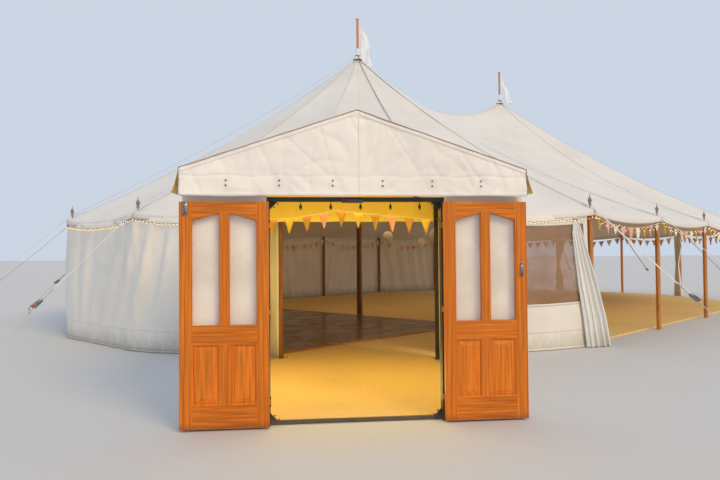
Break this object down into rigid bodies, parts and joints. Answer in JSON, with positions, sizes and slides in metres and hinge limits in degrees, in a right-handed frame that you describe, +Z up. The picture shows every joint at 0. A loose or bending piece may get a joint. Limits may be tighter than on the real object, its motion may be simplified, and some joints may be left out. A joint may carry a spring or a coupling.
{
  "type": "pole marquee tent",
  "caption": "Round-ended pole marquee with king poles, guyed side poles, part walls, a window bay and a gabled porch with glazed double doors.",
  "frame": {"origin": "foot of the front king pole, on the ground", "axes": "+Z up, -Y out through the porch doorway, the tent's long axis at 45 degrees between +X and +Y"},
  "size_m": [22.53, 23.8952, 7.38],
  "materials": {
    "roof_canvas": "woven, satin",
    "wall_fabric": "woven, matt",
    "porch_skin": "coated, satin",
    "clear_sheet": "clear, soft",
    "door_glass": "clear",
    "pole_wood": "varnished",
    "door_wood": "stained, satin",
    "guy_webbing": "woven, matt",
    "dark_metal": "matt",
    "matting": "coarse, matt",
    "dark_boards": "lacquered"
  },
  "bodies": {
    "tent": {"dance_floor": "dark_boards", "floor": "matting", "guy_01": "guy_webbing", "guy_04": "guy_webbing", "guy_05": "guy_webbing", "guy_06": "guy_webbing", "guy_07": "guy_webbing", "guy_08": "guy_webbing", "guy_09": "guy_webbing", "guy_10": "guy_webbing", "guy_11": "guy_webbing", "guy_12": "guy_webbing", "guy_13": "guy_webbing", "guy_14": "guy_webbing", "guy_15": "guy_webbing", "guy_16": "guy_webbing", "guy_17": "guy_webbing", "guy_18": "guy_webbing", "guy_19": "guy_webbing", "guy_20": "guy_webbing", "king_pole_back": "pole_wood", "king_pole_front": "pole_wood", "porch_cover": "porch_skin", "porch_curtain": "wall_fabric", "porch_frame": "dark_metal", "porch_wall_left": "wall_fabric", "porch_wall_right": "wall_fabric", "roof_end_back": "roof_canvas", "roof_end_front": "roof_canvas", "roof_middle": "roof_canvas", "side_pole_01": "pole_wood", "side_pole_02": "pole_wood", "side_pole_03": "pole_wood", "side_pole_04": "pole_wood", "side_pole_05": "pole_wood", "side_pole_06": "pole_wood", "side_pole_07": "pole_wood", "side_pole_08": "pole_wood", "side_pole_09": "pole_wood", "side_pole_10": "pole_wood", "side_pole_11": "pole_wood", "side_pole_12": "pole_wood", "side_pole_13": "pole_wood", "side_pole_14": "pole_wood", "side_pole_15": "pole_wood", "side_pole_16": "pole_wood", "side_pole_17": "pole_wood", "side_pole_18": "pole_wood", "side_pole_19": "pole_wood", "side_pole_20": "pole_wood", "wall_back": "wall_fabric", "wall_back_left": "wall_fabric", "wall_gather": "wall_fabric", "wall_left": "wall_fabric", "wall_window": "wall_fabric", "window_pane": "clear_sheet"},
    "left_leaf": {"door_left": "door_wood", "door_left_glass": "door_glass"},
    "right_leaf": {"door_right": "door_wood", "door_right_glass": "door_glass"}
  },
  "joints": [
    {"name": "left_door", "type": "hinge", "parent": "tent", "child": "left_leaf", "pos_m": [-0.98682, -10.15717, 0.99], "axis": [0, 0, 1], "range_deg": [0, 180]},
    {"name": "right_door", "type": "hinge", "parent": "tent", "child": "right_leaf", "pos_m": [0.55031, -10.02268, 0.99], "axis": [0, 0, 1], "range_deg": [-180, 0]}
  ]
}
